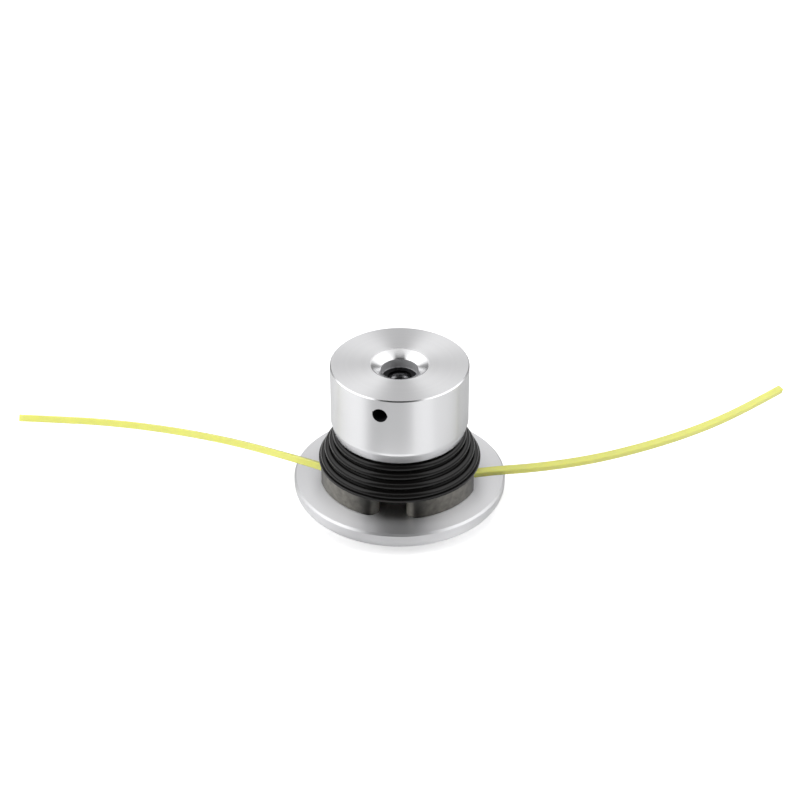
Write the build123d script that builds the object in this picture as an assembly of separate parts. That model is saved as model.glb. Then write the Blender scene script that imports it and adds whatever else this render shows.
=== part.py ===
from build123d import *
import math
import os

# A trimmer head for a brush cutter. It stands on the lowest point of its domed base,
# which is z = 0, and its axis is +Z. All sizes are in millimetres.
# The head screws on the gearbox shaft from above. One square cutting line lies across
# the base disc, bends round a steel post and leaves through two of the four outlets.

# Heights of the stack, from the ground up
disc_thickness = 12.0
outlet_height = 8.3
boot_height = 14.5
hub_length = 30.2

# Turned base disc
disc_radius = 43.5
disc_edge_chamfer = 0.8
disc_rounding = 4.8
disc_rounding_height = 8.8

# Turned hub
hub_radius = 28.0
hub_top_chamfer = 0.8
hub_lower_rounding = 3.0
mouth_radius = 11.8
mouth_depth = 2.2
pilot_radius = 7.6
pilot_chamfer = 0.5
pilot_depth = 6.4
tommy_radius = 3.0
tommy_drop = 7.2
tommy_depth = 16.0
tommy_angle = -106.3

# Steel bush pressed in the hub
bush_radius = 10.0
thread_core_radius = 4.32
thread_depth = 12.0
thread_mouth_chamfer = 0.7
stud_socket_depth = 8.2

# Rubber boot. Each rib's crest is given by how far it stands in from the foot and how far
# it lies below the hub.
boot_top_width = 5.0
boot_foot_overhang = 0.2
boot_foot_height = 1.0
rib_rounding = 1.6
rib_crests = [(5.8, 2.7), (4.3, 6.0), (2.4, 9.3), (0.7, 12.8)]

# Nylon line guide
guide_radius = 33.0
lug_thickness = 6.0
outlet_width = 10.7
outlet_rounding = 4.4
outlet_count = 4
outlet_turn = -5.6
web_inset = 2.5
web_thickness = 2.7
tower_radius = 20.0
boss_radius = 13.0
lug_foot_chamfer = 0.3

# Steel pieces inside
washer_radius = 18.0
washer_hole_radius = 5.25
washer_thickness = 1.5
post_radius = 7.0
post_height = 12.0
stud_radius = 5.0
stud_chamfer = 0.8
stud_floor = 3.0
pin_radius = 1.5
pin_length = 10.0
pin_chamfer = 0.3

# Cutting line, as a round bar of about the same section area as the rounded square line
line_diameter = 3.2
line_offset = -8.8

# Gap left on the radius between pieces that fit in one another
fit_gap = 0.02
end_gap = 0.2

# Radii that follow from the sizes
lug_inner_radius = guide_radius - lug_thickness
pin_circle = guide_radius - lug_thickness / 2
web_radius = guide_radius - web_inset
boot_foot_radius = guide_radius + boot_foot_overhang
boot_top_radius = tower_radius + boot_top_width

# Heights that follow from the sizes
flat_z = disc_thickness
lug_top_z = flat_z + outlet_height
web_top_z = lug_top_z + web_thickness
hub_bottom_z = lug_top_z + boot_height
hub_top_z = hub_bottom_z + hub_length
washer_bottom_z = hub_bottom_z - washer_thickness
bush_top_z = hub_top_z - pilot_depth
line_z = flat_z + line_diameter / 2
boss_bottom_z = flat_z + line_diameter
post_top_z = flat_z + post_height
socket_top_z = hub_bottom_z + stud_socket_depth


def bar(radius, bottom, top, x=0.0, y=0.0):
    """A plain round bar between two heights."""
    return Pos(x, y, (bottom + top) / 2) * Cylinder(radius, top - bottom)


def turned(*edges):
    """A solid turned about the axis from a closed half profile of (radius, height) edges."""
    return revolve(Plane.XZ * make_face(list(edges)), axis=Axis.Z)


def arc_point(centre, radius, degrees):
    """A point on a circle of the half profile."""
    angle = math.radians(degrees)
    return (centre[0] + radius * math.cos(angle), centre[1] + radius * math.sin(angle))


def polar(radius, degrees):
    """A point on a circle seen from above."""
    return arc_point((0.0, 0.0), radius, degrees)


# Base disc. The underside is a shallow dome that runs on the ground without digging in.
# The sphere of the dome touches the rounding of the rim, so no edge shows between them.
def make_base_disc():
    rounding_centre = (disc_radius - disc_rounding, disc_rounding_height)
    dome_radius = (rounding_centre[0] ** 2 + disc_rounding_height**2 - disc_rounding**2) / (
        2 * (disc_rounding_height - disc_rounding)
    )
    dome_centre = (0.0, dome_radius)
    slope = math.degrees(math.atan2(rounding_centre[0], dome_radius - disc_rounding_height))
    touch = arc_point(rounding_centre, disc_rounding, -90 + slope)
    dome = ThreePointArc((0, 0), arc_point(dome_centre, dome_radius, -90 + slope / 2), touch)
    rounding_middle = arc_point(rounding_centre, disc_rounding, (-90 + slope) / 2)
    rim_top_z = flat_z - disc_edge_chamfer
    rounding = ThreePointArc(touch, rounding_middle, (disc_radius, disc_rounding_height))
    upper = Polyline(
        (disc_radius, disc_rounding_height),
        (disc_radius, rim_top_z),
        (disc_radius - disc_edge_chamfer, flat_z),
        (0, flat_z),
        (0, 0),
    )
    disc = turned(dome, rounding, *upper.edges())
    disc -= bar(stud_radius + fit_gap, stud_floor, flat_z)
    for x, y in pin_places():
        disc -= bar(pin_radius + fit_gap, pin_bottom_z() - end_gap, flat_z, x, y)
    return disc


# The two dowels stand halfway between outlets, on opposite lugs.
def pin_places():
    first = outlet_turn + 180 / outlet_count
    return [polar(pin_circle, first), polar(pin_circle, first + 180)]


def pin_bottom_z():
    return flat_z - pin_length / 2


def make_guide_pins():
    bottom = pin_bottom_z()
    pins = []
    for x, y in pin_places():
        pin = bar(pin_radius, bottom, bottom + pin_length, x, y)
        pins.append(chamfer(pin.edges().filter_by(GeomType.CIRCLE), pin_chamfer))
    return Compound(children=pins)


# The largest bell mouth that still leaves the side of a lug a flat long enough for its foot
# chamfer. The rounding touches the outer circle from inside and the flat side of the outlet.
def widest_outlet_rounding():
    half_width = outlet_width / 2
    side_start = math.sqrt(lug_inner_radius**2 - half_width**2)
    flat_end = side_start + lug_foot_chamfer + fit_gap
    return (guide_radius**2 - half_width**2 - flat_end**2) / (2 * (guide_radius + half_width))


# Line guide. Its four lugs stand on the disc and leave the outlets between them. The ends of
# each lug are rounded like a bell mouth so that the line isn't nicked where it bends out.
def make_line_guide():
    ring = Circle(guide_radius) - Circle(lug_inner_radius)
    slots = Sketch()
    for k in range(outlet_count):
        direction = outlet_turn + k * 360 / outlet_count
        reach = Pos(guide_radius, 0) * Rectangle(guide_radius, outlet_width)
        slots += Rot(0, 0, direction) * reach
    lugs_outline = ring - slots
    outer_corners = [
        corner
        for corner in lugs_outline.vertices()
        if math.hypot(corner.X, corner.Y) > (guide_radius + lug_inner_radius) / 2
    ]
    lugs_outline = fillet(outer_corners, min(outlet_rounding, widest_outlet_rounding()))
    lugs = extrude(Pos(0, 0, flat_z) * lugs_outline, outlet_height)
    foot_edges = [edge for edge in lugs.edges() if abs(edge.center().Z - flat_z) < fit_gap]
    lugs = chamfer(foot_edges, lug_foot_chamfer)

    web = bar(web_radius, lug_top_z, web_top_z)
    tower = bar(tower_radius, web_top_z, washer_bottom_z)
    boss = bar(boss_radius, boss_bottom_z, lug_top_z)
    guide = lugs + web + tower + boss
    guide -= bar(post_radius + fit_gap, boss_bottom_z, post_top_z)
    guide -= bar(stud_radius + fit_gap, post_top_z, washer_bottom_z)
    for x, y in pin_places():
        guide -= bar(pin_radius + fit_gap, flat_z, pin_bottom_z() + pin_length + end_gap, x, y)
    return guide


# Boot. Each rib is a full rounding, and a narrow flat groove parts it from the next one.
# It is squeezed between the lugs and the hub and covers the guide's web and tower.
def make_ribbed_boot():
    centres = [
        (boot_foot_radius - inset - rib_rounding, hub_bottom_z - drop) for inset, drop in rib_crests
    ]
    core = Polyline(
        (tower_radius, hub_bottom_z),
        (boot_top_radius, hub_bottom_z),
        *centres,
        (centres[-1][0], lug_top_z + boot_foot_height),
        (boot_foot_radius, lug_top_z + boot_foot_height),
        (boot_foot_radius, lug_top_z),
        (tower_radius, lug_top_z),
        close=True,
    )
    section = make_face(core.edges())
    for radius, height in centres:
        section += Pos(radius, height) * Circle(rib_rounding)
    web_room = web_radius + fit_gap
    section -= Pos(web_room / 2, (lug_top_z + web_top_z) / 2) * Rectangle(web_room, web_thickness)
    tower_room = tower_radius + fit_gap
    section -= Pos(tower_room / 2, (lug_top_z + hub_bottom_z) / 2) * Rectangle(tower_room, boot_height)
    return revolve(Plane.XZ * section, axis=Axis.Z)


# Hub. The wide countersink at the top leads the gearbox shaft into the pilot bore. The bore is
# narrower than the bush, so its shoulder stops the bush from being drawn upwards through the hub.
def make_hub():
    pilot_edge = pilot_radius + pilot_chamfer
    section = Polyline(
        (mouth_radius, hub_top_z),
        (pilot_edge, hub_top_z - mouth_depth),
        (pilot_radius, hub_top_z - mouth_depth - pilot_chamfer),
        (pilot_radius, bush_top_z),
        (bush_radius + fit_gap, bush_top_z),
        (bush_radius + fit_gap, hub_bottom_z),
        (hub_radius, hub_bottom_z),
        (hub_radius, hub_top_z - hub_top_chamfer),
        (hub_radius - hub_top_chamfer, hub_top_z),
        close=True,
    )
    hub = turned(*section.edges())
    lower_edges = [
        edge
        for edge in hub.edges().filter_by(GeomType.CIRCLE)
        if abs(edge.radius - hub_radius) < fit_gap and abs(edge.center().Z - hub_bottom_z) < fit_gap
    ]
    hub = fillet(lower_edges, hub_lower_rounding)
    # Radial hole for the bar that holds the head still while the disc is unscrewed.
    hole_length = 2 * tommy_depth
    hole = Pos(hub_radius, 0, hub_top_z - tommy_drop) * Rot(0, 90, 0) * Cylinder(tommy_radius, hole_length)
    return hub - Rot(0, 0, tommy_angle) * hole


# Bush. The upper thread takes the gearbox shaft and the lower socket takes the stud.
def make_arbor_bush():
    bush = bar(bush_radius, hub_bottom_z, bush_top_z)
    bush -= bar(thread_core_radius, bush_top_z - thread_depth, bush_top_z)
    chamfer_cone = Cone(
        thread_core_radius,
        thread_core_radius + thread_mouth_chamfer,
        thread_mouth_chamfer,
    )
    bush -= Pos(0, 0, bush_top_z - thread_mouth_chamfer / 2) * chamfer_cone
    return bush - bar(stud_radius + fit_gap, hub_bottom_z, socket_top_z)


# Washer, post and stud. The stud pulls the disc against the guide, the guide against the
# washer and the washer against the bush and hub.
def make_clamp_washer():
    return bar(washer_radius, washer_bottom_z, hub_bottom_z) - bar(
        washer_hole_radius, washer_bottom_z, hub_bottom_z
    )


def make_line_post():
    return bar(post_radius, flat_z, post_top_z) - bar(stud_radius + fit_gap, flat_z, post_top_z)


def make_centre_stud():
    stud = bar(stud_radius, stud_floor + end_gap, socket_top_z - end_gap)
    return chamfer(stud.edges().filter_by(GeomType.CIRCLE), stud_chamfer)


# Cutting line. Both halves start face to face in front of the post, run level along the
# disc's flat and bend away. The corners of a route are bent to the largest arcs that fit.
left_route = [
    (0.0, line_offset),
    (-9.0, line_offset),
    (-22.0, -3.5),
    (-45.0, 8.3),
    (-70.0, 20.0),
    (-98.0, 29.1),
    (-125.0, 34.7),
    (-147.0, 36.8),
    (-162.6, 38.0),
]
right_route = [
    (0.0, line_offset),
    (9.0, line_offset),
    (21.0, -5.3),
    (37.0, -1.5),
    (58.0, 1.1),
    (82.0, 7.3),
    (106.0, 17.6),
    (128.0, 29.8),
    (148.0, 44.4),
    (166.3, 60.5),
]
share_of_run = 0.45


def make_line(route):
    points = [Vector(x, y, line_z) for x, y in route]
    radii = []
    for before, corner, after in zip(points, points[1:], points[2:]):
        incoming = corner - before
        outgoing = after - corner
        half_turn = math.radians(incoming.get_angle(outgoing)) / 2
        radii.append(share_of_run * min(incoming.length, outgoing.length) / math.tan(half_turn))
    path = FilletPolyline(*points, radius=radii)
    section = Plane(origin=path @ 0, z_dir=path % 0) * Circle(line_diameter / 2)
    line = sweep(section, path=path)
    expected = math.pi * line_diameter**2 / 4 * path.length
    print("bend radii", [round(radius, 1) for radius in radii])
    print("length", round(path.length, 1), "volume share", round(line.volume / expected, 4))
    return line


pieces = {
    "base_disc": make_base_disc(),
    "guide_pins": make_guide_pins(),
    "line_guide": make_line_guide(),
    "ribbed_boot": make_ribbed_boot(),
    "hub": make_hub(),
    "arbor_bush": make_arbor_bush(),
    "clamp_washer": make_clamp_washer(),
    "line_post": make_line_post(),
    "centre_stud": make_centre_stud(),
    "line_left": make_line(left_route),
    "line_right": make_line(right_route),
}

os.makedirs("parts", exist_ok=True)
for name, piece in pieces.items():
    box = piece.bounding_box()
    export_step(piece, f"parts/{name}.step")
    print(name, "volume", round(piece.volume), "solids", len(piece.solids()))
    print("    from z", round(box.min.Z, 2), "to", round(box.max.Z, 2))
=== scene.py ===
# %% [markdown]
# # A trimmer head, dressed for the camera
# The head screws on the shaft of a brush cutter. A turned aluminium hub and disc hold a rubber
# boot and a notched nylon guide between them, and one square cutting line lies across the disc.
# The sizes and places come from the CAD frame; this script adds the fine shapes and the finishes.

import math

import bmesh
import bpy
from mathutils import Matrix, Vector


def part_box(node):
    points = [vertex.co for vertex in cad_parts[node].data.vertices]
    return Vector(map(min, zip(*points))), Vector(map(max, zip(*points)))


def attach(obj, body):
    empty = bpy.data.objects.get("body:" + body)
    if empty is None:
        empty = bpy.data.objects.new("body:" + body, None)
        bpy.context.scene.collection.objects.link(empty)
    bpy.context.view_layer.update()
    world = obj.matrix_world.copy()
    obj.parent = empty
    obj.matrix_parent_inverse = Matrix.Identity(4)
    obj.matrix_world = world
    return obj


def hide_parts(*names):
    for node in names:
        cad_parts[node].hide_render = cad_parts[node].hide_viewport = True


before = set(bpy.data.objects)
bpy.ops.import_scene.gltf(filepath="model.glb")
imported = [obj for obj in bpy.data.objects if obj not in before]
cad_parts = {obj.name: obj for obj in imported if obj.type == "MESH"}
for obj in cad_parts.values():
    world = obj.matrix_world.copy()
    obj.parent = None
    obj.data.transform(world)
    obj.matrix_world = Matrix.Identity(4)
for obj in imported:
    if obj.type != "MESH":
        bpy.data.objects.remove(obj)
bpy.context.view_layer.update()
mm = 0.001
print("CAD nodes", sorted(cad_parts))

# %% [markdown]
# ## Camera
# A long lens looks down on the head by about 32 degrees. The distance was worked out from how
# much smaller the disc's far side is than its near side. The shift only places the head in the
# frame.

# %% Place the camera
def new_object(name, data):
    """An object with the data, linked to the scene."""
    made = bpy.data.objects.new(name, data)
    bpy.context.scene.collection.objects.link(made)
    return made


def facing(place):
    """The turn that makes a camera or a lamp at a place look at the head."""
    return (look_point - Vector(place)).to_track_quat("-Z", "Y").to_euler()


camera_data = bpy.data.cameras.new("camera")
camera_data.sensor_width = 36.0
camera_data.lens = 94.72
camera_data.shift_x = 0.0004
camera_data.shift_y = -0.0456
camera_data.clip_start = 0.01
camera_data.clip_end = 20.0
camera = new_object("camera", camera_data)
camera_place = Vector((0.0, -0.7129, 0.5130))
look_point = Vector((0.0, 0.0, 0.065))
camera.location = camera_place
camera.rotation_euler = facing(camera_place)
bpy.context.scene.camera = camera
bpy.context.scene.view_settings.view_transform = "Standard"
print("camera distance", round((look_point - camera_place).length, 3))

# %% [markdown]
# ## Cutting line
# The line is square nylon cord about 3 mm wide. It comes off a coil, so it keeps a bend and a
# slow twist. A swept tube can't twist, so the bend is a smooth curve and the square section is
# set round it ring by ring, turned a little more at each ring. The curve has the same route
# points as the CAD.

# %% Routes of the two halves
line_height = 13.6
left_route = [
    (0.0, -8.8), (-9.0, -8.8), (-22.0, -3.5), (-45.0, 8.3), (-70.0, 20.0),
    (-98.0, 29.1), (-125.0, 34.7), (-147.0, 36.8), (-162.6, 38.0),
]
right_route = [
    (0.0, -8.8), (9.0, -8.8), (21.0, -5.3), (37.0, -1.5), (58.0, 1.1),
    (82.0, 7.3), (106.0, 17.6), (128.0, 29.8), (148.0, 44.4), (166.3, 60.5),
]


def plain_mesh(name, source):
    """The evaluated shape of an object as a new mesh object, with the source removed."""
    depsgraph = bpy.context.evaluated_depsgraph_get()
    mesh = bpy.data.meshes.new_from_object(source.evaluated_get(depsgraph))
    bpy.data.objects.remove(source)
    return new_object(name, mesh)


def route_points(route):
    """Points along the smooth curve that the route's points pull into shape, in metres."""
    curve = bpy.data.curves.new("route", "CURVE")
    curve.dimensions = "3D"
    curve.resolution_u = 12
    spline = curve.splines.new("NURBS")
    spline.points.add(len(route) - 1)
    for point, (x, y) in zip(spline.points, route):
        point.co = (x * mm, y * mm, line_height * mm, 1.0)
    spline.order_u = 3
    spline.use_endpoint_u = True
    bare = plain_mesh("route points", new_object("route", curve))
    points = [vertex.co.copy() for vertex in bare.data.vertices]
    bpy.data.objects.remove(bare)
    start = Vector((route[0][0] * mm, route[0][1] * mm, line_height * mm))
    if (points[0] - start).length > (points[-1] - start).length:
        points.reverse()
    return points


# %% [markdown]
# ### Section of the line
# Each ring is a square with small rounded corners. Its turn about the line is read from a short
# list of (distance from the start, degrees), because the line shows a face on one side and an
# edge on the other. The cut end is a plain flat face, as cutters leave it.

# %% Square section and its turn
line_side = 2.94
line_corner = 0.5
corner_steps = 5


def square_section():
    """Points round a square with rounded corners, in millimetres."""
    middle = line_side / 2 - line_corner
    points = []
    for corner in range(4):
        start = corner * 90.0
        centre_angle = math.radians(start + 45.0)
        cx = math.copysign(middle, math.cos(centre_angle))
        cy = math.copysign(middle, math.sin(centre_angle))
        for step in range(corner_steps + 1):
            angle = math.radians(start + 90.0 * step / corner_steps)
            points.append((cx + line_corner * math.cos(angle), cy + line_corner * math.sin(angle)))
    return points


def between(table, value):
    """The number that a list of (place, number) pairs gives at a place, in straight runs."""
    if value <= table[0][0]:
        return table[0][1]
    for (a, first), (b, second) in zip(table, table[1:]):
        if value <= b:
            return first + (second - first) * (value - a) / (b - a)
    return table[-1][1]


# %% [markdown]
# ### Skin of the line
# Neighbouring rings are joined by faces with four corners, and the first and the last ring are
# closed. The same skin serves for the lugs of the guide further down.


# %% Build a twisted square line
def skinned_mesh(name, rings):
    """A closed mesh over rings of places in metres, all with the same number of places."""
    build = bmesh.new()
    loops = [[build.verts.new(place) for place in ring] for ring in rings]
    size = len(loops[0])
    for first, second in zip(loops, loops[1:]):
        for k in range(size):
            after = (k + 1) % size
            build.faces.new((first[k], first[after], second[after], second[k]))
    build.faces.new(loops[0])
    build.faces.new(loops[-1])
    bmesh.ops.recalc_face_normals(build, faces=build.faces)
    mesh = bpy.data.meshes.new(name)
    build.to_mesh(mesh)
    build.free()
    return mesh


def twisted_line(name, points, turns, side_sign):
    """A square line along the points, turned as the table says, and its length in metres."""
    section = square_section()
    rings = []
    travelled = 0.0
    last = len(points) - 1
    for index, point in enumerate(points):
        if index:
            travelled += (point - points[index - 1]).length / mm
        ahead = points[min(index + 1, last)] - points[max(index - 1, 0)]
        side = ahead.cross(Vector((0, 0, 1))).normalized() * side_sign
        turn = math.radians(between(turns, travelled))
        ring = []
        for u, v in section:
            across = u * math.cos(turn) - v * math.sin(turn)
            upward = u * math.sin(turn) + v * math.cos(turn)
            ring.append(point + side * (across * mm) + Vector((0, 0, upward * mm)))
        rings.append(ring)
    piece = new_object(name, skinned_mesh(name, rings))
    print(name, "length", round(travelled, 1), "mm in", len(rings), "rings")
    return piece, travelled * mm


left_points = route_points(left_route)
right_points = route_points(right_route)
left_turns = [(0.0, 0.0), (30.0, 20.0), (50.0, 32.0), (172.0, 36.0)]
right_turns = [(0.0, 0.0), (30.0, -13.0), (185.0, -16.0)]
line_left, left_length = twisted_line("cutting_line_left", left_points, left_turns, -1)
line_right, right_length = twisted_line("cutting_line_right", right_points, right_turns, 1)

# %% [markdown]
# ## Studio
# A turned cylinder shows the room round it as upright bands, one for each direction. Here wide
# soft lamps stand at the left and at the right, and a dark gap lies in front between them. The
# bands hold the brightness for each direction in degrees, with 0 in front, 90 at the right and
# 180 behind. The heights say how the room changes from the horizon, 0, straight up to 1.

# %% Brightness of the room
overhead_light = 0.84
room_heights = [
    (0.0, 0.34), (0.27, 0.44), (0.43, 1.30), (0.72, 1.32),
    (0.86, 1.20), (0.97, 0.80), (1.0, 0.80),
]
room_bands = [
    (-180, 0.69), (-166, 0.69), (-150, 0.80), (-128, 1.20),
    (-100, 1.42), (-64, 1.42), (-50, 0.80), (-39, 0.12),
    (0, 0.04), (26, 0.10), (50, 0.82), (70, 1.28),
    (128, 1.12), (150, 0.78), (166, 0.69), (180, 0.69),
]
print("room", len(room_bands), "bands,", len(room_heights), "heights")

# %% [markdown]
# The floor is read the same way: in reflections its colour is painted light and shade by these
# bands. They are paler in front than the room, because the lamps light a floor more evenly. A list
# of its own paints more light on the strip closest to the disc, which only the rim mirrors.

# %% Brightness of the floor
floor_bands = [
    (-180, 0.43), (-138, 0.57), (-108, 0.76), (-88, 0.84),
    (-62, 0.81), (-34, 0.42), (-14, 0.42), (4, 0.43),
    (14, 0.51), (27, 0.74), (42, 0.77), (56, 0.68),
    (87, 0.63), (107, 0.57), (134, 0.44), (180, 0.43),
]
near_bands = [
    (-180, 0.0), (-60, 0.08), (-40, 0.22), (-28, 0.42),
    (-18, 0.60), (-6, 0.58), (6, 0.55), (16, 0.44),
    (22, 0.10), (28, 0.0), (180, 0.0),
]
print("floor", len(floor_bands), "bands,", len(near_bands), "for the strip")

# %% [markdown]
# ### Numbers in a node tree
# Every tree here needs the same few steps: a node with its inputs, a sum, a change of range, a
# mix of two colours or numbers, and the sides of a place.


# %% Helpers for numbers in a node tree
def feed(tree, node, inputs):
    """Feed a node's inputs, by name or by number, with plain values or with sockets."""
    for title, value in inputs.items():
        if isinstance(value, (int, float, tuple)):
            node.inputs[title].default_value = value
        else:
            tree.links.new(value, node.inputs[title])


def add_node(tree, kind, inputs, **settings):
    """A new node with its settings made and its inputs fed."""
    node = tree.nodes.new(kind)
    for title, value in settings.items():
        setattr(node, title, value)
    feed(tree, node, inputs)
    return node


def math_node(tree, operation, *values):
    """The output of a Math node that is fed by sockets or plain numbers."""
    inputs = dict(enumerate(values))
    return add_node(tree, "ShaderNodeMath", inputs, operation=operation).outputs[0]


def map_range(tree, value, start, end, low=0.0, high=1.0, course="LINEAR"):
    """A number brought from the range start to end to the range low to high, and held there."""
    inputs = {"Value": value, "From Min": start, "From Max": end, "To Min": low, "To Max": high}
    node = add_node(tree, "ShaderNodeMapRange", inputs, interpolation_type=course)
    return node.outputs["Result"]


def mix(tree, factor, first, second, kind="RGBA"):
    """The first colour or number where the factor is nought, the second where it is one."""
    inputs = {"Factor": factor, "A": first, "B": second}
    return add_node(tree, "ShaderNodeMix", inputs, data_type=kind).outputs["Result"]


def sides_of(tree, place):
    """The X, Y and Z of a place, as three sockets."""
    return add_node(tree, "ShaderNodeSeparateXYZ", {0: place}).outputs


# %% [markdown]
# A list of brightness becomes a curve, read along a share from 0 to 1 or by the direction round
# the head. A curve holds numbers up to 1, so the brightness is halved in it and doubled after it.

# %% Helpers for brightness
curve_scale = 2.0
white = (1.0, 1.0, 1.0, 1.0)


def brightness_along(tree, share, places):
    """The brightness that a list of (share, brightness) pairs gives for a share from 0 to 1."""
    curve = add_node(tree, "ShaderNodeFloatCurve", {"Factor": 1.0, "Value": share})
    line = curve.mapping.curves[0]
    line.points[0].location = (0.0, places[0][1] / curve_scale)
    line.points[1].location = (1.0, places[-1][1] / curve_scale)
    for place, brightness in places[1:-1]:
        line.points.new(place, brightness / curve_scale)
    curve.mapping.update()
    return math_node(tree, "MULTIPLY", curve.outputs[0], curve_scale)


def brightness_round(tree, x_socket, y_socket, bands):
    """The brightness that a list of bands gives in the direction of x and y."""
    angle = math_node(tree, "ARCTAN2", x_socket, math_node(tree, "MULTIPLY", y_socket, -1.0))
    share = map_range(tree, angle, -math.pi, math.pi)
    places = [((direction + 180) / 360, brightness) for direction, brightness in bands]
    return brightness_along(tree, share, places)


def seen_in_mirror(tree):
    """One for rays that were reflected or went through glass, else nought."""
    path = tree.nodes.new("ShaderNodeLightPath").outputs
    return math_node(tree, "MAXIMUM", path["Is Glossy Ray"], path["Is Transmission Ray"])


def object_place(tree):
    """The place on the object, so that what reads it stays with the surface."""
    return tree.nodes.new("ShaderNodeTexCoord").outputs["Object"]


# %% [markdown]
# ### Floor
# The floor is pale and wide. Its colour goes nearly white under the lamps, and only what a camera
# ray sees is lifted further, so it still carries the head's soft shadow. In reflections its colour
# is painted light and shade by the bands of the floor, the floor glows faintly as painted light,
# and a list of its own paints a brighter strip that the rim mirrors.

# %% Floor
floor_size = 6.0
floor_colour = 0.86
camera_lift = 0.47
mirror_lift = 0.12
strip_start, strip_full = 0.047, 0.054
strip_fading, strip_end = 0.072, 0.086
far_start, far_end = 0.5, 1.6
bpy.ops.mesh.primitive_plane_add(size=floor_size, location=(0, 0, 0))
floor = bpy.context.object
floor.name = "studio floor"
floor_material = bpy.data.materials.new("studio floor")
floor_material.use_nodes = True
floor.data.materials.append(floor_material)
tree = floor_material.node_tree
tree.nodes.clear()
floor_place = object_place(tree)
floor_sides = sides_of(tree, floor_place)[:2]
mirror_ray = seen_in_mirror(tree)
# Painted light and shade: the floor's colour in reflections follows the bands.
floor_painted_light = brightness_round(tree, *floor_sides, floor_bands)
floor_shade = mix(tree, mirror_ray, floor_colour, floor_painted_light, "FLOAT")
floor_paint = add_node(tree, "ShaderNodeBsdfDiffuse", {"Color": floor_shade})
measured = add_node(tree, "ShaderNodeVectorMath", {0: floor_place}, operation="LENGTH")
distance = measured.outputs["Value"]
strip_inside = map_range(tree, distance, strip_start, strip_full)
strip_outside = map_range(tree, distance, strip_end, strip_fading)
strip = math_node(tree, "MULTIPLY", strip_outside, strip_inside)
# Painted light on the strip by the rim, seen only in reflections.
strip_painted_light = brightness_round(tree, *floor_sides, near_bands)
near_lift = math_node(tree, "MULTIPLY_ADD", strip, strip_painted_light, mirror_lift)
# Reflections see the floor glow, a painted light, strongest in the strip.
mirror_share = math_node(tree, "MULTIPLY", mirror_ray, near_lift)
camera_ray = tree.nodes.new("ShaderNodeLightPath").outputs["Is Camera Ray"]
far_floor = map_range(tree, distance, far_start, far_end, camera_lift, 1.0)
lift_total = math_node(tree, "MULTIPLY_ADD", camera_ray, far_floor, mirror_share)
floor_lift = add_node(tree, "ShaderNodeEmission", {"Color": white, "Strength": lift_total})
both = {0: floor_paint.outputs[0], 1: floor_lift.outputs[0]}
floor_sum = add_node(tree, "ShaderNodeAddShader", both)
add_node(tree, "ShaderNodeOutputMaterial", {"Surface": floor_sum.outputs[0]})
print("floor", floor_size, "m wide, bright strip from", strip_start, "to", strip_end, "m")

# %% [markdown]
# ### World
# The world is a slightly dim room for the light that falls on the head, darker in front like the
# reflections, and plain white where the camera looks past it. Reflections see the bands of the
# room, brightest at the height of the lamps, and a grey ceiling right above.

# %% World
room_even = 0.10
room_banded = 0.24
ceiling_start, ceiling_full = 0.93, 0.99
world = bpy.data.worlds.new("studio world")
bpy.context.scene.world = world
world.use_nodes = True
tree = world.node_tree
tree.nodes.clear()
world_place = tree.nodes.new("ShaderNodeTexCoord")
world_sides = sides_of(tree, world_place.outputs["Generated"])
upward = world_sides[2]
room_round = brightness_round(tree, *world_sides[:2], room_bands)
room_gloss = math_node(tree, "MULTIPLY", room_round, brightness_along(tree, upward, room_heights))
ceiling = map_range(tree, upward, ceiling_start, ceiling_full, 0.0, overhead_light, "SMOOTHSTEP")
brighter = math_node(tree, "MAXIMUM", room_gloss, ceiling)
room_strength = math_node(tree, "MULTIPLY_ADD", room_gloss, room_banded, room_even)
room = {"Color": (0.97, 0.98, 1.0, 1.0), "Strength": room_strength}
room_light = add_node(tree, "ShaderNodeBackground", room)
camera_ray = tree.nodes.new("ShaderNodeLightPath").outputs["Is Camera Ray"]
view = {"Color": white, "Strength": mix(tree, camera_ray, brighter, 1.0, "FLOAT")}
white_view = add_node(tree, "ShaderNodeBackground", view)
shown = math_node(tree, "MAXIMUM", camera_ray, seen_in_mirror(tree))
either = {0: shown, 1: room_light.outputs[0], 2: white_view.outputs[0]}
world_mix = add_node(tree, "ShaderNodeMixShader", either)
add_node(tree, "ShaderNodeOutputWorld", {"Surface": world_mix.outputs[0]})
print("world with", len(tree.nodes), "nodes")

# %% [markdown]
# ### Lamps
# Three large soft lamps light the matt surfaces, from the left, from the right and from above.
# Mirror rays don't see them, because the bands of the room stand for them there.


# %% Lamps
def soft_lamp(name, place, width, height, power):
    """A rectangular lamp that faces the head and isn't seen in reflections."""
    data = bpy.data.lights.new(name, "AREA")
    data.shape = "RECTANGLE"
    data.size = width
    data.size_y = height
    data.energy = power
    lamp = new_object(name, data)
    lamp.visible_glossy = False
    lamp.location = place
    lamp.rotation_euler = facing(place)


soft_lamp("left lamp", (-1.45, -0.42, 0.65), width=1.1, height=1.0, power=21.0)
soft_lamp("right lamp", (1.5, -0.15, 0.8), width=1.0, height=1.0, power=14.0)
soft_lamp("top lamp", (0.0, -0.25, 1.9), width=1.6, height=1.2, power=16.0)
print("studio ready with", len(room_bands), "bands")

# %% [markdown]
# ## Finishes
# Every pattern reads the place on the object, so it stays with its surface. What is the same all
# over a surface is a plain number on the shader.


# %% Helpers for materials
def new_material(name):
    """A material with one Principled shader, and its tree."""
    material = bpy.data.materials.new(name)
    material.use_nodes = True
    tree = material.node_tree
    tree.nodes.clear()
    shader = tree.nodes.new("ShaderNodeBsdfPrincipled")
    add_node(tree, "ShaderNodeOutputMaterial", {"Surface": shader.outputs[0]})
    return material, tree, shader


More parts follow.
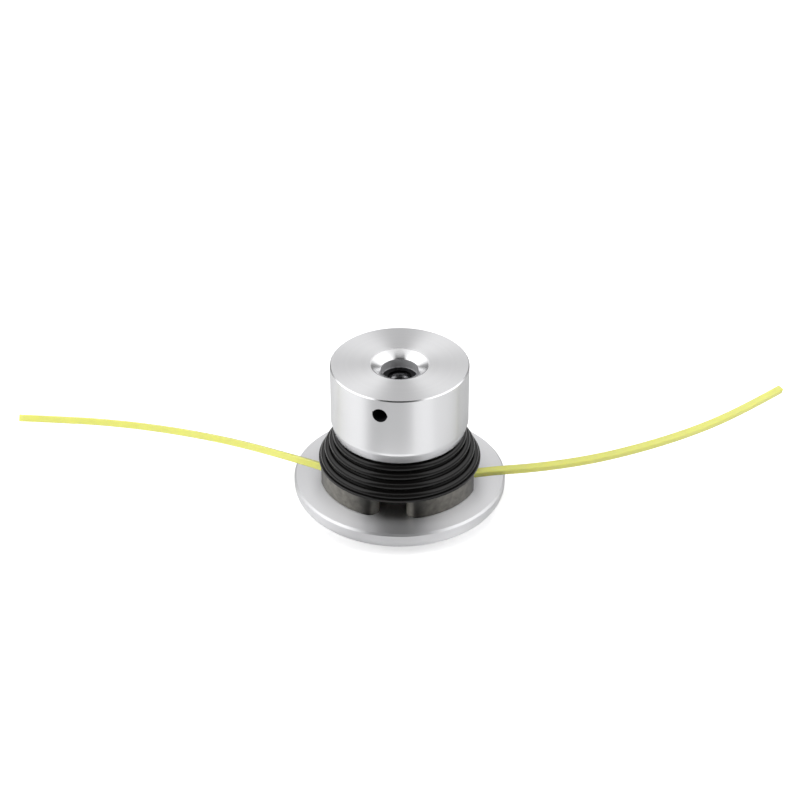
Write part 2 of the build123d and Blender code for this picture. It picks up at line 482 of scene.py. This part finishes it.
def noise_along(tree, coordinate, scale, detail=2.0):
    """One-dimensional noise along a number on the object, from 0 to 1."""
    inputs = {"W": coordinate, "Scale": scale, "Detail": detail}
    return add_node(tree, "ShaderNodeTexNoise", inputs, noise_dimensions="1D").outputs["Fac"]


def grain_noise(tree, scale, detail):
    """Noise in all three directions of the object, from 0 to 1."""
    inputs = {"Vector": object_place(tree), "Scale": scale, "Detail": detail}
    return add_node(tree, "ShaderNodeTexNoise", inputs).outputs["Fac"]


def spread(tree, factor, low, high):
    """A factor from 0 to 1 brought to the range low to high."""
    return map_range(tree, factor, 0.0, 1.0, low, high)


def fine_relief(tree, height, strength, depth):
    """A normal that is bent by a height from 0 to 1, with the depth in metres."""
    inputs = {"Strength": strength, "Distance": depth, "Height": height}
    return add_node(tree, "ShaderNodeBump", inputs).outputs[0]


def axis_places(tree, place):
    """Sockets with the distance of a place from the axis and with its height."""
    x, y, height = sides_of(tree, place)
    square_x = math_node(tree, "MULTIPLY", x, x)
    square_y = math_node(tree, "MULTIPLY", y, y)
    return math_node(tree, "SQRT", math_node(tree, "ADD", square_x, square_y)), height


def round_the_axis(tree, place):
    """The direction that goes round the axis at a place."""
    upright = {0: (0.0, 0.0, 1.0), 1: place}
    cross = add_node(tree, "ShaderNodeVectorMath", upright, operation="CROSS_PRODUCT")
    round_it = {0: cross.outputs[0]}
    return add_node(tree, "ShaderNodeVectorMath", round_it, operation="NORMALIZE").outputs[0]


# %% [markdown]
# ### Turned aluminium
# Turned aluminium is covered in fine rings round the axis. They spread a reflection across the
# rings, so the shader is anisotropic along a direction that goes round the axis, and a fine noise
# that follows the rings breaks the gloss.

# %% Turned aluminium
fine_rings = 2600.0
coarse_rings = 420.0
ring_relief = 0.12
roughness_play = 0.012


def turned_aluminium(name, dark, light, roughness, stretch, ring_depth):
    """Turned metal. Stretch is how far the rings spread a reflection, their depth is in metres."""
    material, tree, shader = new_material(name)
    place = object_place(tree)
    across, height = axis_places(tree, place)
    along = math_node(tree, "ADD", across, height)
    fine = noise_along(tree, along, fine_rings, detail=3.0)
    look = {
        "Base Color": mix(tree, noise_along(tree, along, coarse_rings), dark, light),
        "Roughness": spread(tree, fine, roughness - roughness_play, roughness + roughness_play),
        "Metallic": 1.0,
        "Anisotropic": stretch,
        "Anisotropic Rotation": 0.25,
        "Tangent": round_the_axis(tree, place),
        "Normal": fine_relief(tree, fine, ring_relief, ring_depth),
    }
    feed(tree, shader, look)
    return material


hub_metal = turned_aluminium(
    "turned aluminium hub",
    dark=(0.790, 0.790, 0.800, 1),
    light=(0.80, 0.80, 0.81, 1),
    roughness=0.20,
    stretch=0.50,
    ring_depth=0.000001,
)
disc_metal = turned_aluminium(
    "turned aluminium disc",
    dark=(0.78, 0.78, 0.795, 1),
    light=(0.81, 0.81, 0.822, 1),
    roughness=0.385,
    stretch=0.97,
    ring_depth=0.000002,
)
faced_metal = turned_aluminium(
    "faced aluminium",
    dark=(0.81, 0.81, 0.82, 1),
    light=(0.84, 0.84, 0.85, 1),
    roughness=0.45,
    stretch=0.9,
    ring_depth=0.000002,
)

# %% [markdown]
# ### Rubber, nylon and steel
# These have an even surface with a fine grain from the mould, the reamer or the plating. One
# noise gives the colour, the sheen and the relief of the grain, so that all three agree.


# %% Materials with an even grain
def grained(name, dark, light, sheen, grain_scale, grain_depth=0.00001, metallic=0.0, gloss=0.5):
    """A fine even grain. Sheen is the least and the most roughness, gloss the specular level."""
    material, tree, shader = new_material(name)
    noise = grain_noise(tree, grain_scale, detail=3.0)
    look = {
        "Base Color": mix(tree, noise, dark, light),
        "Roughness": spread(tree, noise, *sheen),
        "Metallic": metallic,
        "Specular IOR Level": gloss,
        "Normal": fine_relief(tree, noise, strength=0.3, depth=grain_depth),
    }
    feed(tree, shader, look)
    return material


boot_rubber = grained(
    "moulded black rubber",
    dark=(0.0030, 0.0029, 0.0028, 1),
    light=(0.0064, 0.0060, 0.0056, 1),
    sheen=(0.12, 0.18),
    grain_scale=900.0,
    grain_depth=0.00002,
    gloss=0.30,
)
guide_nylon = grained(
    "moulded dark nylon",
    dark=(0.032, 0.031, 0.026, 1),
    light=(0.235, 0.223, 0.195, 1),
    sheen=(0.26, 0.42),
    grain_scale=420.0,
    grain_depth=0.00005,
    gloss=0.42,
)
reamed_metal = grained(
    "reamed bore",
    dark=(0.42, 0.42, 0.43, 1),
    light=(0.53, 0.53, 0.54, 1),
    sheen=(0.38, 0.48),
    metallic=0.35,
    grain_scale=1200.0,
)
# The bar hole's wall is painted near black: painted shade for the dark inside of the hole.
bar_hole_painted_shade = grained(
    "drilled metal in the dark",
    dark=(0.010, 0.010, 0.011, 1),
    light=(0.022, 0.022, 0.024, 1),
    sheen=(0.5, 0.6),
    grain_scale=1500.0,
    gloss=0.1,
)

# %% [markdown]
# Beside each outlet the nylon's colour is painted darker: painted shade on the rounded ends, which
# turn towards the dark front, with a thin darker line where the rounding meets the lug. The mask
# reads the distance from the nearest middle plane of an outlet: the four outlets stand square to
# each other, so it is the smaller of the two sides of a square grid that is turned with them.

# %% Nylon painted dark beside the outlets, as painted shade
outlet_turn = -5.6
shade_reach = 0.020
# Painted shade along the reach: darkest just beside the rounding of each outlet.
shade_profile = [
    (0.0, 1.0), (0.30, 1.0), (0.41, 0.60), (0.48, 0.12),
    (0.56, 0.18), (0.72, 0.60), (1.0, 1.0),
]


def colour_source(material):
    """A material's tree, its colour socket and the socket that feeds it."""
    tree = material.node_tree
    colour = tree.nodes["Principled BSDF"].inputs["Base Color"]
    return tree, colour, colour.links[0].from_socket


def paint_shade_beside_outlets(material):
    """Darken a material's colour with painted shade beside the outlets, by the profile."""
    tree, colour, nylon_grain = colour_source(material)
    turn = {"Vector": object_place(tree), "Angle": -math.radians(outlet_turn)}
    turned = add_node(tree, "ShaderNodeVectorRotate", turn, rotation_type="Z_AXIS")
    sides = [math_node(tree, "ABSOLUTE", side) for side in sides_of(tree, turned.outputs[0])[:2]]
    nearest = math_node(tree, "MINIMUM", *sides)
    share = math_node(tree, "MINIMUM", math_node(tree, "DIVIDE", nearest, shade_reach), 1.0)
    shade_share = brightness_along(tree, share, shade_profile)
    tree.links.new(mix(tree, shade_share, (0.0, 0.0, 0.0, 1), nylon_grain), colour)


paint_shade_beside_outlets(guide_nylon)

# %% [markdown]
# The bush is blackened, and a narrow ring on its end face is painted bright, a painted highlight
# along the edge under the pilot bore. The mask reads the distance from the axis and the height,
# so the ring stays on that face.


# %% Blackened steel with a painted highlight ring
def blackened_steel_with_highlight(name, ring_inner, ring_outer, face_height):
    """Black steel with a painted highlight between two radii above a height, in metres."""
    material = grained(
        name,
        dark=(0.012, 0.012, 0.013, 1),
        light=(0.030, 0.030, 0.032, 1),
        sheen=(0.32, 0.42),
        metallic=1.0,
        grain_scale=1500.0,
    )
    tree, colour, black = colour_source(material)
    across, height = axis_places(tree, object_place(tree))
    outside = math_node(tree, "GREATER_THAN", across, ring_inner)
    inside = math_node(tree, "LESS_THAN", across, ring_outer)
    above = math_node(tree, "GREATER_THAN", height, face_height)
    painted_highlight = math_node(tree, "MULTIPLY", math_node(tree, "MULTIPLY", outside, inside), above)
    # The painted highlight: a bright ring mixed into the black colour.
    tree.links.new(mix(tree, painted_highlight, black, (0.70, 0.70, 0.71, 1)), colour)
    return material


black_steel = blackened_steel_with_highlight(
    "blackened steel", ring_inner=0.00722, ring_outer=0.0078, face_height=0.0584
)
thread_steel = grained(
    "cut thread in steel",
    dark=(0.22, 0.22, 0.23, 1),
    light=(0.34, 0.34, 0.35, 1),
    sheen=(0.20, 0.30),
    metallic=1.0,
    grain_scale=1500.0,
)
zinc_steel = grained(
    "zinc plated steel",
    dark=(0.50, 0.51, 0.53, 1),
    light=(0.62, 0.63, 0.64, 1),
    sheen=(0.22, 0.32),
    metallic=1.0,
    grain_scale=1100.0,
)

# %% [markdown]
# ### Nylon of the line
# Line nylon is a clear yellow all the way through. Light goes in, is scattered and comes out more
# yellow, and the skin has a dull sheen.


# %% Clear yellow nylon
def line_finish():
    """Clear yellow nylon: light enters it and comes out coloured."""
    material, tree, shader = new_material("yellow line nylon")
    noise = grain_noise(tree, scale=140.0, detail=2.0)
    look = {
        "Base Color": mix(tree, noise, (0.735, 0.74, 0.20, 1), (0.765, 0.765, 0.23, 1)),
        "Roughness": spread(tree, noise, 0.20, 0.24),
        "Subsurface Weight": 0.6,
        "Subsurface Radius": (1.0, 0.9, 0.2),
        "Subsurface Scale": 0.003,
    }
    feed(tree, shader, look)
    return material


line_nylon = line_finish()
print("finishes", [material.name for material in bpy.data.materials])

# %% [markdown]
# ## Trees that make shapes
# A Geometry Nodes tree holds the rule behind a shape. Each one here has named inputs and one
# output, and each ends in the same two steps: its instances are made real and the finish is set.


# %% Start, end and use of a tree
def new_tree(name, inputs, output):
    """A Geometry Nodes tree with named inputs and one output, and the sockets of its inputs."""
    tree = bpy.data.node_groups.new(name, "GeometryNodeTree")
    for title, kind in inputs:
        tree.interface.new_socket(title, in_out="INPUT", socket_type="NodeSocket" + kind)
    tree.interface.new_socket(output, in_out="OUTPUT", socket_type="NodeSocketGeometry")
    return tree, tree.nodes.new("NodeGroupInput").outputs


def finish_tree(tree, shape, finish):
    """Make a tree's instances real, set their finish and hand the shape out."""
    real = add_node(tree, "GeometryNodeRealizeInstances", {"Geometry": shape})
    coating = {"Geometry": real.outputs[0], "Material": finish}
    coat = add_node(tree, "GeometryNodeSetMaterial", coating)
    add_node(tree, "NodeGroupOutput", {0: coat.outputs[0]})


def run_tree(name, mesh, tree, values):
    """A plain mesh object made by a node tree from a mesh and its named inputs."""
    carrier = new_object(name, mesh)
    modifier = carrier.modifiers.new("tree", "NODES")
    modifier.node_group = tree
    for item in tree.interface.items_tree:
        if item.in_out == "INPUT" and item.name in values:
            modifier[item.identifier] = values[item.name]
    return plain_mesh(name, carrier)


# %% [markdown]
# ## Turned pieces
# Everything round on this head is a half profile turned about the axis. The tree lays a grid with
# one row for each profile point and one column for each step round the axis, and moves every
# point of the grid to its place on the circle. The seam is merged.


# %% Tree that turns a profile
def turning_tree():
    """A node tree that turns the points of its mesh, kept in order, about the Z axis."""
    inputs = [("Profile", "Geometry"), ("Steps Round", "Int"), ("Finish", "Material")]
    tree, given = new_tree("turn a profile", inputs, "Piece")
    profile = given["Profile"]
    size = add_node(tree, "GeometryNodeAttributeDomainSize", {"Geometry": profile})
    rows = size.outputs["Point Count"]
    columns = math_node(tree, "ADD", given["Steps Round"], 1.0)
    cells = {"Size X": 1.0, "Size Y": 1.0, "Vertices X": columns, "Vertices Y": rows}
    grid = add_node(tree, "GeometryNodeMeshGrid", cells)
    place = tree.nodes.new("GeometryNodeInputPosition").outputs[0]
    grid_x, grid_y = sides_of(tree, place)[:2]
    row_share = math_node(tree, "ADD", grid_y, 0.5)
    last_row = math_node(tree, "SUBTRACT", rows, 1.0)
    row = math_node(tree, "ROUND", math_node(tree, "MULTIPLY", row_share, last_row))
    pick = tree.nodes.new("GeometryNodeSampleIndex")
    pick.data_type = "FLOAT_VECTOR"
    pick.domain = "POINT"
    feed(tree, pick, {"Geometry": profile, "Value": place, "Index": row})
    angle = math_node(tree, "MULTIPLY", math_node(tree, "ADD", grid_x, 0.5), 2.0 * math.pi)
    turn = {"Vector": pick.outputs["Value"], "Angle": angle}
    turned = add_node(tree, "ShaderNodeVectorRotate", turn, rotation_type="Z_AXIS")
    places = {"Geometry": grid.outputs["Mesh"], "Position": turned.outputs[0]}
    moved = add_node(tree, "GeometryNodeSetPosition", places)
    seam = {"Geometry": moved.outputs[0], "Distance": 1e-7}
    merged = add_node(tree, "GeometryNodeMergeByDistance", seam)
    finish_tree(tree, merged.outputs[0], given["Finish"])
    return tree


turn_profile = turning_tree()
print("tree", turn_profile.name, "with", len(turn_profile.nodes), "nodes")

# %% [markdown]
# ### From profile to smooth metal
# A profile is a list of points in millimetres, radius then height, in the order that keeps the
# metal on the left. Arcs are added as many short runs. Faces are shaded smooth, and edges sharper
# than about thirty degrees stay crisp, which is how a lathe leaves them.

# %% Helpers for turned pieces
steps_wide = 256
steps_narrow = 128
metal_crisp = 28.0
moulded_crisp = 30.0
rubber_crisp = 40.0


def arc(cx, cz, radius, first, last, steps):
    """Points of an arc in the half profile, from one angle to another in degrees."""
    points = []
    for step in range(steps + 1):
        angle = math.radians(first + (last - first) * step / steps)
        points.append((cx + radius * math.cos(angle), cz + radius * math.sin(angle)))
    return points


def clean(piece, sharp_degrees):
    """Doubles merged, faces turned outwards, shading smooth with crisp edges."""
    build = bmesh.new()
    build.from_mesh(piece.data)
    bmesh.ops.remove_doubles(build, verts=build.verts, dist=1e-7)
    bmesh.ops.dissolve_degenerate(build, edges=build.edges, dist=1e-8)
    bmesh.ops.recalc_face_normals(build, faces=build.faces)
    for face in build.faces:
        face.smooth = True
    for edge in build.edges:
        angle = edge.calc_face_angle(0.0)
        edge.smooth = angle < math.radians(sharp_degrees)
    build.to_mesh(piece.data)
    build.free()


def turned_piece(name, profile, steps, finish, sharp_degrees=metal_crisp):
    """A closed turned solid from a closed half profile."""
    mesh = bpy.data.meshes.new(name)
    points = [(radius * mm, 0.0, height * mm) for radius, height in profile + profile[:1]]
    mesh.from_pydata(points, [], [])
    values = {"Steps Round": steps, "Finish": finish}
    piece = run_tree(name, mesh, turn_profile, values)
    clean(piece, sharp_degrees)
    print(name, len(piece.data.polygons), "faces")
    return piece


def cut_away(piece, cutter):
    """The piece with the cutter's shape taken out, as a plain mesh."""
    modifier = piece.modifiers.new("cut", "BOOLEAN")
    modifier.operation = "DIFFERENCE"
    modifier.solver = "EXACT"
    modifier.object = cutter
    name = piece.name
    cut = plain_mesh(name, piece)
    bpy.data.objects.remove(cutter)
    clean(cut, metal_crisp)
    return cut


# %% [markdown]
# ## Hub
# The hub has a small chamfer at the top, a wide countersink that runs down to the pilot bore, a
# pocket for the steel bush, and a slight taper at its foot, where it is drawn in to meet the
# boot. A radial hole takes the bar that holds it.

# %% Turn the hub
hub_low, hub_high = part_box("hub")
hub_radius = hub_high.x / mm
hub_bottom = hub_low.z / mm
hub_top = hub_high.z / mm
top_chamfer = 0.45
foot_inset = 1.15
foot_height = 4.6
foot_edge = 0.35
foot_edge_end = -15
foot_edge_steps = 5
foot_rows = 10
mouth_radius = 11.8
mouth_depth = 2.2
mouth_softening = 2.0
mouth_steps = 8
pilot_radius = 7.6
pilot_chamfer = 0.5
pocket_radius = 10.02
pocket_top = 58.6
pilot_edge = pilot_radius + pilot_chamfer
mouth_slope = math.degrees(math.atan2(mouth_depth, mouth_radius - pilot_edge))
soft_run = mouth_softening * math.tan(math.radians(mouth_slope / 2))
side_rows = 24
hub_profile = [(pocket_radius, hub_bottom)]
side_bottom = hub_bottom + foot_height
foot_radius = hub_radius - foot_inset
foot_centre = (foot_radius - foot_edge, hub_bottom + foot_edge)
hub_profile += arc(*foot_centre, foot_edge, -90, foot_edge_end, foot_edge_steps)
for k in range(1, foot_rows):
    share = k / foot_rows
    height = hub_bottom + foot_edge + (foot_height - foot_edge) * share
    hub_profile.append((foot_radius + foot_inset * share, height))
hub_profile.append((hub_radius, side_bottom))
side_top = hub_top - top_chamfer
for k in range(1, side_rows):
    hub_profile.append((hub_radius, side_bottom + (side_top - side_bottom) * k / side_rows))
hub_profile += [(hub_radius, side_top), (hub_radius - top_chamfer, hub_top)]
mouth_centre = (mouth_radius + soft_run, hub_top - mouth_softening)
hub_profile += arc(*mouth_centre, mouth_softening, 90, 90 + mouth_slope, mouth_steps)
hub_profile += [
    (pilot_edge, hub_top - mouth_depth),
    (pilot_radius, hub_top - mouth_depth - pilot_chamfer),
    (pilot_radius, pocket_top),
    (pocket_radius, pocket_top),
]
hub = turned_piece("turned_hub", hub_profile, steps_wide, hub_metal)

# %% [markdown]
# ### Bar hole
# A bar is pushed into a blind hole in the hub's side to hold the head while it is screwed on. The
# hole is cut with a plain cylinder. Then each face gets its finish by its place: turned outside,
# faced on top, painted near black in the hole as painted shade, and reamed in the pilot bore.

# %% Drill the bar hole
bar_angle = math.radians(-106.3)
bar_height = 57.8
bar_radius = 3.0
bar_depth = 16.0
hole_steps = 64
hole_slack = 1.01
side_margin = 0.1
bore_margin = 0.05
bpy.ops.mesh.primitive_cylinder_add(
    vertices=hole_steps, radius=bar_radius * mm, depth=2 * bar_depth * mm
)
drill = bpy.context.object
drill.data.transform(Matrix.Rotation(math.pi / 2, 4, "Y"))
drill.data.transform(Matrix.Translation((hub_radius * mm, 0, bar_height * mm)))
drill.data.transform(Matrix.Rotation(bar_angle, 4, "Z"))
hub = cut_away(hub, drill)
hub.data.materials.clear()
for finish in (hub_metal, bar_hole_painted_shade, faced_metal, reamed_metal):
    hub.data.materials.append(finish)
on_side, in_bar_hole, on_top, in_bore = range(4)
bar_direction = Vector((math.cos(bar_angle), math.sin(bar_angle), 0.0))
bar_middle = Vector((0.0, 0.0, bar_height * mm))
for face in hub.data.polygons:
    out = face.center - bar_middle
    inward = out.dot(bar_direction)
    aside = (out - bar_direction * inward).length
    in_hole = aside < bar_radius * mm * hole_slack
    below_side = 0 < inward < (hub_radius - side_margin) * mm
    face.material_index = in_bar_hole if in_hole and below_side else on_side
    across = math.hypot(face.center.x, face.center.y) / mm
    height = face.center.z / mm
    if across > mouth_radius and height > hub_top - bore_margin:
        face.material_index = on_top
    elif across < pilot_radius + bore_margin and height > pocket_top:
        face.material_index = in_bore
print("hub", len(hub.data.polygons), "faces")

# %% [markdown]
# ## Base disc
# The disc is flat on top and has a shallow dome below, so that it slides over the ground. The rim
# is rounded into the dome, and the upper edge has only a small chamfer. The flat has the dull,
# drawn-out sheen of a coarse cut, the rim and the dome have the clearer one of a fine cut.

# %% Turn the disc
disc_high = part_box("base_disc")[1]
disc_radius = disc_high.x / mm
disc_top = disc_high.z / mm
edge_chamfer = 0.8
rim_rounding = 4.8
rim_centre_height = 8.8
rim_centre = disc_radius - rim_rounding
dome_steps = 40
rim_steps = 20
flat_rings = (36.0, 20.0)
stud_bore_radius = 5.02
stud_hole_floor = 3.0
dome_radius = (rim_centre**2 + rim_centre_height**2 - rim_rounding**2) / (
    2 * (rim_centre_height - rim_rounding)
)
dome_turn = math.degrees(math.atan2(rim_centre, dome_radius - rim_centre_height))
disc_profile = arc(0.0, dome_radius, dome_radius, -90, -90 + dome_turn, dome_steps)
rim_profile = arc(rim_centre, rim_centre_height, rim_rounding, -90 + dome_turn, 0, rim_steps)
disc_profile += rim_profile[1:]
disc_profile += [(disc_radius, disc_top - edge_chamfer), (disc_radius - edge_chamfer, disc_top)]
disc_profile += [(radius, disc_top) for radius in (*flat_rings, stud_bore_radius)]
disc_profile += [(stud_bore_radius, stud_hole_floor), (0.0, stud_hole_floor)]
disc = turned_piece("turned_disc", disc_profile, steps_wide, disc_metal)
disc.data.materials.append(hub_metal)
for face in disc.data.polygons:
    if face.center.z / mm < disc_top - side_margin:
        face.material_index = 1

# %% [markdown]
# ## Ribbed boot
# The boot is moulded rubber. Each rib is a rounding of its own, a narrow groove parts it from the
# next one, and a thin lip runs round the foot. The profile follows the ribs' circles, then it is
# turned.

# %% Turn the boot
boot_low, boot_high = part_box("ribbed_boot")
boot_top = boot_high.z / mm
boot_foot = boot_low.z / mm
rib_radius = 1.6
rib_places = [(27.4, 2.7), (28.9, 6.0), (30.8, 9.3), (32.5, 12.8)]
rib_centres = [(crest - rib_radius, boot_top - drop) for crest, drop in rib_places]
rib_steps = 16
first_rib_start = 110.0
seat_radius = 25.0
lip_radius = 33.2
lip_height = 1.0
lip_edge = 0.2
web_radius = 30.52
tower_radius = 20.02
web_top = 23.0


def angle_from(centre, point):
    """The angle of a point seen from a rib's centre, in degrees."""
    return math.degrees(math.atan2(point[1] - centre[1], point[0] - centre[0]))


foot_top = boot_foot + lip_height
lowest = rib_centres[-1]
lowest_angle = -math.degrees(math.asin((lowest[1] - foot_top) / rib_radius))
boot_outline = []
for index, centre in enumerate(rib_centres):
    upper = angle_from(centre, rib_centres[index - 1]) if index else first_rib_start
    lower = lowest_angle if centre is lowest else angle_from(centre, rib_centres[index + 1])
    boot_outline += arc(*centre, rib_radius, upper, lower, rib_steps)
boot_profile = [(tower_radius, boot_top), (seat_radius, boot_top)] + boot_outline
boot_profile += [
    (lip_radius - lip_edge, foot_top),
    (lip_radius, foot_top - lip_edge),
    (lip_radius, boot_foot),
    (web_radius, boot_foot),
    (web_radius, web_top),
    (tower_radius, web_top),
]
boot = turned_piece("rubber_boot", boot_profile, steps_wide, boot_rubber, rubber_crisp)

# %% [markdown]
# ## Line guide
# Four equal lugs stand on the disc, with bell-mouthed outlets between them. One lug is drawn from
# above and given its height, and a Geometry Nodes tree repeats it round the axis, because the
# number of outlets and their first direction are the rule behind the shape.

# %% Draw one lug
guide_low, guide_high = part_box("line_guide")
lug_bottom = guide_low.z / mm
lug_top = 20.3
lug_outer = 33.0
lug_inner = 27.0
lug_bevel = 0.3
outlet_width = 10.7
outlet_rounding = 4.4
outlet_count = 4
rounding_steps = 10
outer_steps = 24
inner_steps = 16


def lug_outline():
    """The outline of one lug seen from above, with its middle on the X axis."""
    half_pitch = math.radians(180.0 / outlet_count)
    half_width = outlet_width / 2
    # the outlet's side, seen from the outlet's own axis
    centre_across = half_width + outlet_rounding
    centre_along = math.sqrt((lug_outer - outlet_rounding) ** 2 - centre_across**2)
    touch = math.atan2(centre_across, centre_along)
    rounding = (outlet_rounding, -90.0, math.degrees(touch), rounding_steps)
    side = [(math.sqrt(lug_inner**2 - half_width**2), half_width), (centre_along, half_width)]
    side += arc(centre_along, centre_across, *rounding)[1:]
    cosine, sine = math.cos(half_pitch), math.sin(half_pitch)
    turned_side = [(x * cosine + y * sine, y * cosine - x * sine) for x, y in side]
    outer_end = math.degrees(half_pitch - touch)
    outer = arc(0.0, 0.0, lug_outer, -outer_end, outer_end, outer_steps)[1:-1]
    mirrored = [(x, -y) for x, y in reversed(turned_side)]
    inner_start = math.degrees(math.atan2(mirrored[-1][1], mirrored[-1][0]))
    inner = arc(0.0, 0.0, lug_inner, inner_start, -inner_start, inner_steps)[1:-1]
    return turned_side + outer + mirrored + inner


def lug_mesh():
    """One lug as a closed mesh with a narrow bevel at its foot."""
    middle = (lug_inner + lug_outer) / 2
    rings = []
    levels = [(lug_bottom, lug_bevel), (lug_bottom + lug_bevel, 0.0), (lug_top, 0.0)]
    for height, inset in levels:
        ring = []
        for x, y in lug_outline():
            radius = math.hypot(x, y)
            share = (radius - inset * (1 if radius > middle else -1)) / radius
            ring.append((x * share * mm, y * share * mm, height * mm))
        rings.append(ring)
    return skinned_mesh("one lug", rings)


# %% [markdown]
# The lug becomes an instance on each of a row of points that all lie on the axis. Each point
# turns its instance by the same step more, after a first turn.


# %% Tree that repeats a lug round the axis
def repeating_tree():
    """A node tree that repeats its mesh round the Z axis."""
    inputs = [("One Piece", "Geometry"), ("Count", "Int"), ("First Turn", "Float")]
    inputs.append(("Finish", "Material"))
    tree, given = new_tree("repeat round the axis", inputs, "Ring")
    count = given["Count"]
    seats = tree.nodes.new("GeometryNodeMeshLine")
    seats.mode = "OFFSET"
    feed(tree, seats, {"Count": count, "Offset": (0.0, 0.0, 0.0)})
    index = tree.nodes.new("GeometryNodeInputIndex").outputs[0]
    step = math_node(tree, "DIVIDE", 2.0 * math.pi, count)
    turn = math_node(tree, "MULTIPLY_ADD", index, step, given["First Turn"])
    direction = add_node(tree, "ShaderNodeCombineXYZ", {"Z": turn})
    places = {
        "Points": seats.outputs["Mesh"],
        "Instance": given["One Piece"],
        "Rotation": direction.outputs[0],
    }
    placed = add_node(tree, "GeometryNodeInstanceOnPoints", places)
    finish_tree(tree, placed.outputs[0], given["Finish"])
    return tree


repeat_round = repeating_tree()
first_turn = math.radians(outlet_turn + 180.0 / outlet_count)
lug_values = {"Count": outlet_count, "First Turn": first_turn, "Finish": guide_nylon}
lugs = run_tree("guide_lugs", lug_mesh(), repeat_round, lug_values)
clean(lugs, moulded_crisp)
print("lugs", len(lugs.data.polygons), "faces")

# %% [markdown]
# The lugs hang from a round web with a tower above it and a boss below it. The web closes the top
# of the chamber that the line crosses, so this turned part carries the four lugs.

# %% Turn the guide's core
tower_top = guide_high.z / mm
boss_bottom = 15.2
boss_radius = 13.0
post_bore_radius = 7.02
post_top = 24.0
guide_web_radius = 30.5
guide_tower_radius = 20.0
core_profile = [
    (post_bore_radius, boss_bottom),
    (boss_radius, boss_bottom),
    (boss_radius, lug_top),
    (guide_web_radius, lug_top),
    (guide_web_radius, web_top),
    (guide_tower_radius, web_top),
    (guide_tower_radius, tower_top),
    (stud_bore_radius, tower_top),
    (stud_bore_radius, post_top),
    (post_bore_radius, post_top),
]
guide_core = turned_piece("guide_core", core_profile, steps_narrow, guide_nylon)

# %% [markdown]
# ## Bush
# The steel bush is pressed into the hub from below and is blackened. The hole on top takes the
# thread and ends blind, and the hole from below takes the stud.

# %% Turn the bush
bush_low, bush_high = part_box("arbor_bush")
bush_bottom = bush_low.z / mm
bush_top = bush_high.z / mm
bush_radius = 10.0
stud_room_top = 43.0
core_radius = 4.32
major_radius = 5.02
thread_depth = 12.0
thread_pitch = 1.25
thread_floor = bush_top - thread_depth
bush_profile = [
    (stud_bore_radius, bush_bottom),
    (bush_radius, bush_bottom),
    (bush_radius, bush_top),
    (major_radius, bush_top),
    (major_radius, thread_floor),
    (0.0, thread_floor),
    (0.0, stud_room_top),
    (stud_bore_radius, stud_room_top),
]
bush = turned_piece("blackened_bush", bush_profile, steps_narrow, black_steel)

# %% [markdown]
# ### Thread
# The thread is a ridge that winds down the hole. A Geometry Nodes tree sweeps a small four-sided
# section along a helix. The helix turns clockwise as it rises, which makes the thread left-handed.


# %% Tree that winds a thread
def thread_tree():
    """A node tree that sweeps a small square along a left-handed helix."""
    measures = [(title, "Float") for title in ("Turns", "Radius", "Length", "Ridge")]
    inputs = [("Start", "Geometry"), *measures, ("Finish", "Material")]
    tree, given = new_tree("wind a thread", inputs, "Thread")
    winding = {
        "Resolution": 40,
        "Reverse": False,
        "Rotations": given["Turns"],
        "Start Radius": given["Radius"],
        "End Radius": given["Radius"],
        "Height": given["Length"],
    }
    helix = add_node(tree, "GeometryNodeCurveSpiral", winding)
    section = {"Resolution": 4, "Radius": given["Ridge"]}
    ridge = add_node(tree, "GeometryNodeCurvePrimitiveCircle", section)
    swept = {"Curve": helix.outputs[0], "Profile Curve": ridge.outputs[0], "Fill Caps": True}
    sweep = add_node(tree, "GeometryNodeCurveToMesh", swept)
    finish_tree(tree, sweep.outputs[0], given["Finish"])
    return tree


wind_thread = thread_tree()
thread_runout = 1.5
ridge_length = thread_depth - thread_runout
ridge_start = 0.7
ridge_offset = 0.62
ridge_radius = 0.6
thread_values = {
    "Turns": ridge_length / thread_pitch,
    "Radius": (core_radius + ridge_offset) * mm,
    "Length": ridge_length * mm,
    "Ridge": ridge_radius * mm,
    "Finish": thread_steel,
}
thread = run_tree("bush_thread", bpy.data.meshes.new("thread start"), wind_thread, thread_values)
thread.data.transform(Matrix.Translation((0, 0, (thread_floor + ridge_start) * mm)))
clean(thread, moulded_crisp)
print("thread", len(thread.data.polygons), "faces")

# %% [markdown]
# ## Joining up
# Each scene piece rides on the one rigid body and replaces the CAD node that it stands for. The
# washer, post, stud and pins keep their CAD shape and only get a finish. The line is kept out of
# mirror rays, because the fine turning blurs its yellow until it can't be seen in the metal.

# %% Give each piece its body and hide the CAD node that it replaces
for half in (line_left, line_right):
    half.data.materials.append(line_nylon)
    half.visible_glossy = False
for piece, node, slot in [
    (hub, "hub", "turned_aluminium"),
    (disc, "base_disc", "turned_aluminium"),
    (boot, "ribbed_boot", "boot_rubber"),
    (lugs, "line_guide", "guide_nylon"),
    (guide_core, "line_guide", "guide_nylon"),
    (bush, "arbor_bush", "black_steel"),
    (thread, "arbor_bush", "black_steel"),
    (line_left, "line_left", "line_nylon"),
    (line_right, "line_right", "line_nylon"),
]:
    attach(piece, "root")
    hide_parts(node)
for node in ("clamp_washer", "line_post", "centre_stud", "guide_pins"):
    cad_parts[node].data.materials.clear()
    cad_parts[node].data.materials.append(zinc_steel)
